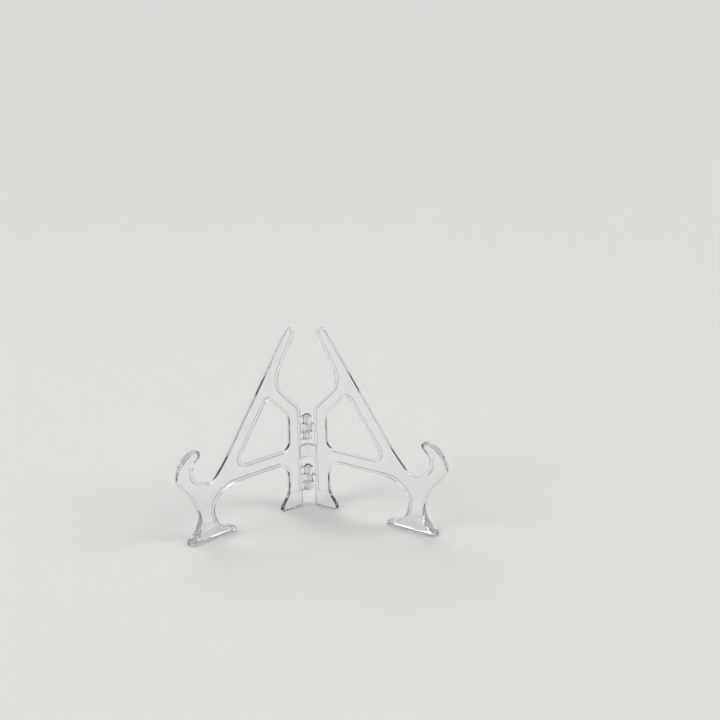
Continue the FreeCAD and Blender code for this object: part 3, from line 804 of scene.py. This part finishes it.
def knuckle_solid(v, s, bottom):
    """Points and faces of one knuckle and its leaf, as (from the axis, across, up).

    Its outline is the barrel's circle from the leaf's outer face round to its inner face, and the leaf's end.
    """
    inner, outer, end = leaf(v, s)
    meet = math.sqrt(s.knuckle_radius**2 - inner**2)
    swing = np.linspace(math.pi / 2, 2 * math.pi - s.knuckle_root / s.knuckle_radius, BARREL_STEPS)
    barrel = s.knuckle_radius * np.column_stack([np.cos(swing), np.sin(swing)])
    barrel[:, 1] = np.minimum(barrel[:, 1], outer)
    tail = [(meet + s.knuckle_root, inner), (end, inner), (end, outer)]
    outline = spaced(np.vstack([barrel, tail]), s.step / 2, s.bend)
    bore = np.linspace(0, 2 * math.pi, BORE_STEPS, endpoint=False)
    hole = (s.pin_radius + s.bore_gap) * np.column_stack([np.cos(bore), np.sin(bore)])
    return plain_solid(outline, [hole], s.knuckle_length, bottom, s.knuckle_edge)


def stop_solid(v, s):
    """Points and faces of the stop tab, whose mitred face meets the other frame's in the stand's middle."""
    inner, outer, root = leaf(v, s)
    set_back = s.stop_gap * math.sqrt(2)
    corners = [(root, inner, 0), (root, outer, 0)]
    corners += [(set_back - side, side, STOP_ROUND) for side in (outer, inner)]
    outline = spaced(rounded_loop(corners), s.step / 2, s.bend)
    return plain_solid(outline, [], s.stop_length, s.stop_height, s.knuckle_edge)


def stood(points, side):
    """Points of a frame, as (from the axis, across, up), turned to their place in the open stand."""
    turn = TURN[side]
    along, across, up = points.T
    across = across * OUTWARD[side]
    x = along * math.cos(turn) - across * math.sin(turn) + AXIS[0]
    y = along * math.sin(turn) + across * math.cos(turn) + AXIS[1]
    return np.column_stack([x, y, up])


def read_points(mesh, name):
    """A vector of each point of a mesh, as rows."""
    values = np.empty(len(mesh.vertices) * 3)
    mesh.vertices.foreach_get(name, values)
    return values.reshape(-1, 3)


def mark_point(mesh, name, values):
    """A value for each point of a mesh, which a material can read by name."""
    mesh.attributes.new(name, "FLOAT", "POINT").data.foreach_set("value", values.astype(np.float32))


def mark_edges(mesh, v, s, side):
    """Marks the points on a frame's rounded edges and in its flutes, for the painted edge shade and the painted
    dark reflection in the flutes.

    With lean as the part of the normal that points across the plate, rounding is the square of
    4 lean^2 (1 - lean^2): none on the flat faces and on the middle of an edge, and full half way round between
    them.  fluting is the depth below the hook's outer circle as a share of the flute's radius.
    """
    points, normals = (read_points(mesh, name) for name in ("co", "normal"))
    turn = TURN[side]
    outwards = np.array([math.cos(turn), math.sin(turn)])
    crosswise = np.array([-outwards[1], outwards[0]])
    square = (normals[:, :2] @ crosswise) ** 2
    mark_point(mesh, "rounding", (4 * square * (1 - square)) ** 2)
    along = (points[:, :2] - AXIS) @ outwards
    across = np.abs((points[:, :2] - AXIS) @ crosswise) - s.knuckle_radius + s.rim_thick / 2
    up = points[:, 2]
    arm = np.column_stack([along - v.frame_reach + v.hook_centre, up - v.hook_height + v.hook_radius])
    below = v.hook_radius - np.linalg.norm(arm, axis=1)
    fluted = (np.abs(across) < s.flute_pitch + s.flute_radius) & (below < FLUTE_REACH * s.flute_radius)
    fluted &= (arm[:, 0] > v.hook_centre - v.hook_tip) & (arm[:, 1] > 0)
    mark_point(mesh, "fluting", np.where(fluted, np.clip(below / s.flute_radius, 0, 1), 0))


class PLATESTAND_OT_side_frame(bpy.types.Operator):
    """Builds one side frame as a single clear moulding with its knuckles and stop tab"""

    bl_idname = "plate_stand.side_frame"
    bl_label = "Side frame"

    side: bpy.props.EnumProperty(
        name="Side", description="Which of the two frames",
        items=[("left", "Left", ""), ("right", "Right", "")],
    )

    def execute(self, context):
        v = context.scene.stand_outline
        s = context.scene.stand_section
        material = bpy.data.materials["clear_moulding"]
        plate, faces = plate_solid(v, s)
        plate[:, 1] += s.knuckle_radius - s.rim_thick / 2
        solids = [mesh_object("plate", stood(plate, self.side), faces, material)]
        for low, _ in PIN_BOX.values():
            start = low.z + s.pin_tip_length
            for place in KNUCKLES[self.side]:
                points, faces = knuckle_solid(v, s, start + place * (s.knuckle_length + s.knuckle_gap))
                solids.append(mesh_object("knuckle", stood(points, self.side), faces, material))
        points, faces = stop_solid(v, s)
        solids.append(mesh_object("stop", stood(points, self.side), faces, material))
        made = joined(f"{self.side}_frame_moulding", solids)
        mark_edges(made.data, v, s, self.side)
        smooth(made)
        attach(made, {"left": "left_frame", "right": "right_frame"}[self.side])
        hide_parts(f"{self.side}_side_frame")
        return {"FINISHED"}


# ---------------------------------------------------------------- hinge pins


def pin_profile(s, bottom, top, head_radius):
    """Half the pin's section as (radius, height): a chamfered tip, the shank, and a head with rounded edges."""
    under = top - s.pin_head_height
    corners = [
        (0.0, bottom, 0.0),
        (s.pin_radius - s.pin_chamfer, bottom, PIN_TIP_ROUND),
        (s.pin_radius, bottom + s.pin_chamfer, PIN_TIP_ROUND),
        (s.pin_radius, under, PIN_NECK_ROUND),
        (head_radius, under, PIN_TIP_ROUND),
        (head_radius, top - s.pin_chamfer, PIN_HEAD_ROUND),
        (head_radius - s.pin_chamfer, top, PIN_HEAD_ROUND),
        (0.0, top, 0.0),
    ]
    loop = spaced(rounded_loop(corners), PIN_STEP, s.bend * PIN_BEND)
    outside = loop[loop[:, 0] > 10 * TINY]
    return np.vstack([[0, bottom], outside, [0, top]])


class PLATESTAND_OT_hinge_pins(bpy.types.Operator):
    """Builds the two headed hinge pins"""

    bl_idname = "plate_stand.hinge_pins"
    bl_label = "Hinge pins"

    def execute(self, context):
        s = context.scene.stand_section
        for hinge, (low, high) in PIN_BOX.items():
            points, faces = turned(pin_profile(s, low.z, high.z, (high.x - low.x) / 2), PIN_STEPS)
            points[:, :2] += AXIS
            made = mesh_object(f"{hinge}_pin", points, faces, bpy.data.materials["pin_moulding"])
            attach(smooth(made), "left_frame")
            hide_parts(f"{hinge}_hinge_pin")
        return {"FINISHED"}


# ---------------------------------------------------------------- materials


def new_group(name, inputs, outputs):
    """An empty shader node group with float or vector sockets: {name: (kind, default)}."""
    group = bpy.data.node_groups.new(name, "ShaderNodeTree")
    for title, (kind, default) in inputs.items():
        socket = group.interface.new_socket(title, in_out="INPUT", socket_type=kind)
        if default is not None:
            socket.default_value = default
    for title, kind in outputs.items():
        group.interface.new_socket(title, in_out="OUTPUT", socket_type=kind)
    return group, group.nodes.new("NodeGroupInput"), group.nodes.new("NodeGroupOutput")


def mask_group(name):
    """The same with a Vector and an Amount that come in and a Mask that goes out, and those three sockets."""
    group, put_in, put_out = new_group(
        name,
        {"Vector": ("NodeSocketVector", None), "Amount": ("NodeSocketFloat", 0.5)},
        {"Mask": "NodeSocketFloat"},
    )
    return group, put_in.outputs["Vector"], put_in.outputs["Amount"], put_out.inputs["Mask"]


def maths(tree, operation, *values):
    """A Math node; each value is a number or a socket."""
    node = tree.nodes.new("ShaderNodeMath")
    node.operation = operation
    for slot, value in zip(node.inputs, values):
        if isinstance(value, bpy.types.NodeSocket):
            tree.links.new(value, slot)
        else:
            slot.default_value = value
    return node.outputs[0]


def limits(tree, value, low, high, out_low=0.0, out_high=1.0):
    """A Map Range node that eases value from low..high to out_low..out_high."""
    node = tree.nodes.new("ShaderNodeMapRange")
    node.interpolation_type = "SMOOTHSTEP"
    tree.links.new(value, node.inputs["Value"])
    for title, number in (("From Min", low), ("From Max", high), ("To Min", out_low), ("To Max", out_high)):
        node.inputs[title].default_value = number
    return node.outputs["Result"]


def noise(tree, vector, scale, detail=2.0):
    """A Noise Texture's factor."""
    node = tree.nodes.new("ShaderNodeTexNoise")
    tree.links.new(vector, node.inputs["Vector"])
    node.inputs["Scale"].default_value = scale
    node.inputs["Detail"].default_value = detail
    node.inputs["Roughness"].default_value = 0.5
    return node.outputs["Factor"] if "Factor" in node.outputs else node.outputs["Fac"]


def stretched(tree, vector, turn, scale):
    """The vector turned and stretched by a Mapping node."""
    node = tree.nodes.new("ShaderNodeMapping")
    tree.links.new(vector, node.inputs["Vector"])
    node.inputs["Rotation"].default_value = [math.radians(a) for a in turn]
    node.inputs["Scale"].default_value = scale
    return node.outputs["Vector"]


def scratches_group():
    """Hairline scratches in two directions, gathered in patches: Mask is 1 on a scratch."""
    group, vector, amount, mask = mask_group("Hairline scratches")
    lines = []
    for turn in ((12, 35, 20), (-30, 8, 75)):
        fine = noise(group, stretched(group, vector, turn, (2600, 2600, 34)), 1.0, 1.0)
        lines.append(limits(group, fine, 0.70, 0.76))
    either = maths(group, "MAXIMUM", *lines)
    patches = limits(group, noise(group, vector, 60.0), 0.42, 0.66)
    group.links.new(maths(group, "MULTIPLY", maths(group, "MULTIPLY", either, patches), amount), mask)
    return group


def dust_group():
    """Dust that has settled on faces that look up, in specks and a thin film: Mask is 1 under dust."""
    group, vector, amount, mask = mask_group("Settled dust")
    geometry = group.nodes.new("ShaderNodeNewGeometry")
    split = group.nodes.new("ShaderNodeSeparateXYZ")
    group.links.new(geometry.outputs["Normal"], split.inputs[0])
    upward = limits(group, split.outputs["Z"], 0.2, 0.9)
    film = limits(group, noise(group, vector, 90.0, 4.0), 0.35, 0.75)
    specks = limits(group, noise(group, vector, 1500.0, 1.0), 0.70, 0.76)
    cover = maths(group, "ADD", maths(group, "MULTIPLY", film, 0.35), specks)
    covered = maths(group, "MULTIPLY", maths(group, "MULTIPLY", upward, cover), amount)
    group.links.new(maths(group, "MINIMUM", covered, 1.0), mask)
    return group


def flow_group():
    """The faint unevenness of a moulded surface: Height is a slow ripple with a little fine texture."""
    group, put_in, put_out = new_group(
        "Moulding flow",
        {
            "Vector": ("NodeSocketVector", None),
            "Ripple": ("NodeSocketFloat", 1.0),
            "Texture": ("NodeSocketFloat", 0.1),
        },
        {"Height": "NodeSocketFloat"},
    )
    vector = put_in.outputs["Vector"]
    slow = noise(group, stretched(group, vector, (0, 0, 0), (1, 1, 0.6)), 130.0, 1.0)
    fine = noise(group, vector, 1800.0, 2.0)
    ripple = maths(group, "MULTIPLY", slow, put_in.outputs["Ripple"])
    texture = maths(group, "MULTIPLY", fine, put_in.outputs["Texture"])
    group.links.new(maths(group, "ADD", ripple, texture), put_out.inputs["Height"])
    return group


def sole_group():
    """Scuffs where the feet stand: Mask is 1 at the sole, and fades just above it in a broken line."""
    group, vector, amount, mask = mask_group("Sole scuffs")
    split = group.nodes.new("ShaderNodeSeparateXYZ")
    group.links.new(vector, split.inputs[0])
    uneven = maths(group, "MULTIPLY", noise(group, vector, 700.0, 3.0), 1.2 * MM)
    low = limits(group, maths(group, "ADD", split.outputs["Z"], uneven), 0.5 * MM, 1.4 * MM, 1.0, 0.0)
    group.links.new(maths(group, "MULTIPLY", low, amount), mask)
    return group


def place_group(tree, group, vector, **values):
    """That node group in a material, fed by a vector, with its own values."""
    node = tree.nodes.new("ShaderNodeGroup")
    node.node_tree = group
    tree.links.new(vector, node.inputs["Vector"])
    for title, value in values.items():
        node.inputs[title].default_value = value
    return node.outputs[0]


def mixed(tree, factor, first, second):
    """A colour mixed from first to second by a factor; each is a colour or a socket."""
    mix = tree.nodes.new("ShaderNodeMix")
    mix.data_type = "RGBA"
    tree.links.new(factor, mix.inputs[0])
    for slot, value in zip(mix.inputs[6:8], (first, second)):       # the colour sockets A and B
        if isinstance(value, bpy.types.NodeSocket):
            tree.links.new(value, slot)
        else:
            slot.default_value = (*value, 1)
    return mix.outputs[2]


def marked(tree, name, amount):
    """The value that a piece's points carry under that name, times an amount."""
    read = tree.nodes.new("ShaderNodeAttribute")
    read.attribute_name = name
    return maths(tree, "MULTIPLY", read.outputs["Fac"], amount)


def clear_material(name, tint, finish, roughness, groups, amounts):
    """See-through plastic: painted shade where it is seen edge-on and on its rounded edges, a painted dark
    reflection in its flutes, dust over it, a polish broken by wear, and moulding flow.
    """
    material = bpy.data.materials.new(name)
    material.use_nodes = True
    tree = material.node_tree
    shader = tree.nodes["Principled BSDF"]
    shader.inputs["Transmission Weight"].default_value = 1.0
    shader.inputs["IOR"].default_value = finish.refraction
    shader.inputs["Metallic"].default_value = 0.0
    vector = tree.nodes.new("ShaderNodeTexCoord").outputs["Object"]
    scratches = place_group(tree, groups["scratches"], vector, Amount=amounts["scratches"])
    dust = place_group(tree, groups["dust"], vector, Amount=amounts["dust"])
    scuffs = place_group(tree, groups["sole"], vector, Amount=amounts["scuffs"])
    flow = place_group(tree, groups["flow"], vector, Ripple=amounts["ripple"], Texture=amounts["texture"])
    # Painted shade: the colour darkens where the surface turns edge-on to the view and on the marked rounded
    # edges, standing in for dark refraction lines
    facing = tree.nodes.new("ShaderNodeLayerWeight")
    facing.inputs["Blend"].default_value = 0.5
    deep = limits(tree, facing.outputs["Facing"], *EDGE_ON)
    deep = maths(tree, "MAXIMUM", deep, marked(tree, "rounding", amounts["rounding"]))
    body = mixed(tree, deep, tint, tuple(finish.edge_painted_shade))
    # Painted dark reflection: the colour darkens in the depth of the flutes
    body = mixed(tree, marked(tree, "fluting", amounts["fluting"]), body, tuple(finish.flute_painted_reflection))
    tree.links.new(mixed(tree, dust, body, tuple(finish.dust_tint)), shader.inputs["Base Color"])
    worn = maths(tree, "MULTIPLY", scratches, WORN)
    dusty = maths(tree, "MULTIPLY", dust, DUSTY)
    scuffed = maths(tree, "MULTIPLY", scuffs, SCUFFED)
    rough = maths(tree, "ADD", maths(tree, "ADD", worn, dusty), maths(tree, "ADD", scuffed, roughness))
    tree.links.new(rough, shader.inputs["Roughness"])
    bump = tree.nodes.new("ShaderNodeBump")
    bump.inputs["Strength"].default_value = 1.0
    bump.inputs["Distance"].default_value = amounts["bump"]
    tree.links.new(flow, bump.inputs["Height"])
    tree.links.new(bump.outputs["Normal"], shader.inputs["Normal"])
    return material


class PLATESTAND_OT_materials(bpy.types.Operator):
    """Makes the clear plastic of the frames and the slightly cloudy plastic of the pins"""

    bl_idname = "plate_stand.materials"
    bl_label = "Materials"

    def execute(self, context):
        finish = context.scene.stand_finish
        groups = {
            "scratches": scratches_group(),
            "dust": dust_group(),
            "flow": flow_group(),
            "sole": sole_group(),
        }
        clear, cloudy = tuple(finish.clear_tint), tuple(finish.pin_tint)
        clear_material("clear_moulding", clear, finish, finish.clear_roughness, groups, CLEAR_LOOK)
        clear_material("pin_moulding", cloudy, finish, finish.pin_roughness, groups, CLOUDY_LOOK)
        return {"FINISHED"}


# ---------------------------------------------------------------- stage


def floor_material(tint):
    """Plain matt pale surface."""
    material = bpy.data.materials.new("floor")
    material.use_nodes = True
    shader = material.node_tree.nodes["Principled BSDF"]
    shader.inputs["Base Color"].default_value = (*tint, 1)
    shader.inputs["Roughness"].default_value = 1.0
    shader.inputs["Specular IOR Level"].default_value = 0.0
    return material


def add_light(name, place, aim, size, power):
    """A soft rectangular light at a place, turned to face a point."""
    data = bpy.data.lights.new(name, "AREA")
    data.shape = "RECTANGLE"
    data.size, data.size_y = size
    data.energy = power
    lamp = bpy.data.objects.new(name, data)
    lamp.location = place
    lamp.rotation_euler = (Vector(aim) - Vector(place)).to_track_quat("-Z", "Y").to_euler()
    bpy.context.scene.collection.objects.link(lamp)


def make_world(stage):
    """Pale surroundings down to the horizon, dimmer above it, with wide soft boxes high up round the stand.

    Clear edges mirror the soft boxes as white lines and bend the dimmer part into grey ones.  The camera itself
    sees the pale surroundings only.
    """
    world = bpy.data.worlds.new("studio")
    bpy.context.scene.world = world
    world.use_nodes = True
    tree = world.node_tree
    shade = tree.nodes["Background"]
    way = tree.nodes.new("ShaderNodeTexCoord").outputs["Generated"]
    split = tree.nodes.new("ShaderNodeSeparateXYZ")
    tree.links.new(way, split.inputs[0])
    lit = limits(tree, split.outputs["Z"], *HORIZON, stage.surround, stage.fill)
    low, high = (math.cos(stage.box_size * share_of) for share_of in BOX_EDGE)
    for place in SOFT_BOXES:
        towards = tree.nodes.new("ShaderNodeVectorMath")
        towards.operation = "DOT_PRODUCT"
        tree.links.new(way, towards.inputs[0])
        towards.inputs[1].default_value = Vector(place).normalized()
        box = limits(tree, towards.outputs["Value"], low, high, 0.0, stage.box_light)
        lit = maths(tree, "ADD", lit, box)
    seen = tree.nodes.new("ShaderNodeLightPath").outputs["Is Camera Ray"]
    unseen = maths(tree, "MULTIPLY", maths(tree, "SUBTRACT", 1.0, seen), lit)
    strength = maths(tree, "ADD", unseen, maths(tree, "MULTIPLY", seen, stage.surround))
    shade.inputs["Color"].default_value = (*stage.sky_colour, 1)
    tree.links.new(strength, shade.inputs["Strength"])


class PLATESTAND_OT_stage(bpy.types.Operator):
    """Sets the floor, the soft lights, the surroundings and the camera"""

    bl_idname = "plate_stand.stage"
    bl_label = "Stage"

    def execute(self, context):
        stage = context.scene.stand_stage
        turns = np.linspace(0, 2 * np.pi, FLOOR_STEPS, endpoint=False)
        rim = stage.floor_radius * np.column_stack([np.cos(turns), np.sin(turns), 0 * turns])
        floor = mesh_object("floor", rim, [list(range(len(rim)))], floor_material(stage.floor_colour))
        if floor.data.polygons[0].normal.z < 0:
            floor.data.flip_normals()
        make_world(stage)
        add_light("top_softbox", LAMP_PLACE, LAMP_AIM, LAMP_SIZE, stage.lamp_power)
        context.scene.view_settings.view_transform = "Standard"
        data = bpy.data.cameras.new("camera")
        data.lens = stage.camera_lens
        data.sensor_width = SENSOR_WIDTH
        data.clip_end = FARTHEST
        camera = bpy.data.objects.new("camera", data)
        camera.location = stage.camera_place
        level = Euler((math.radians(90) - stage.camera_pitch, 0, -stage.camera_yaw))
        camera.rotation_euler = (level.to_matrix() @ Euler((0, 0, -stage.camera_roll)).to_matrix()).to_euler()
        context.scene.collection.objects.link(camera)
        context.scene.camera = camera
        return {"FINISHED"}


# ---------------------------------------------------------------- the add-on


class PLATESTAND_PT_panel(bpy.types.Panel):
    """Lists the stand's sizes, finishes and builders"""

    bl_idname = "PLATESTAND_PT_panel"
    bl_label = "Plate stand"
    bl_space_type = "VIEW_3D"
    bl_region_type = "UI"
    bl_category = "Plate stand"

    def draw(self, context):
        for builder in BUILDERS:
            self.layout.operator(builder.bl_idname)
        for title in GROUPS:
            box = self.layout.box()
            settings = getattr(context.scene, title)
            for item in settings.bl_rna.properties:
                if item.identifier not in ("rna_type", "name"):
                    box.prop(settings, item.identifier)


GROUPS = {
    "stand_outline": StandOutline,
    "stand_section": StandSection,
    "stand_finish": StandFinish,
    "stand_stage": StandStage,
}
BUILDERS = (
    PLATESTAND_OT_materials,
    PLATESTAND_OT_side_frame,
    PLATESTAND_OT_hinge_pins,
    PLATESTAND_OT_stage,
)
CLASSES = (*GROUPS.values(), *BUILDERS, PLATESTAND_PT_panel)


def register():
    """Registers the classes and gives the scene its settings."""
    for item in CLASSES:
        bpy.utils.register_class(item)
    for title, group in GROUPS.items():
        setattr(bpy.types.Scene, title, bpy.props.PointerProperty(type=group))


def unregister():
    """Takes both away again."""
    for title in GROUPS:
        delattr(bpy.types.Scene, title)
    for item in reversed(CLASSES):
        bpy.utils.unregister_class(item)


def main():
    """Builds the pieces and the stage."""
    register()
    bpy.ops.plate_stand.materials()
    for side in ("left", "right"):
        bpy.ops.plate_stand.side_frame(side=side)
    bpy.ops.plate_stand.hinge_pins()
    bpy.ops.plate_stand.stage()


if __name__ == "__main__":
    main()
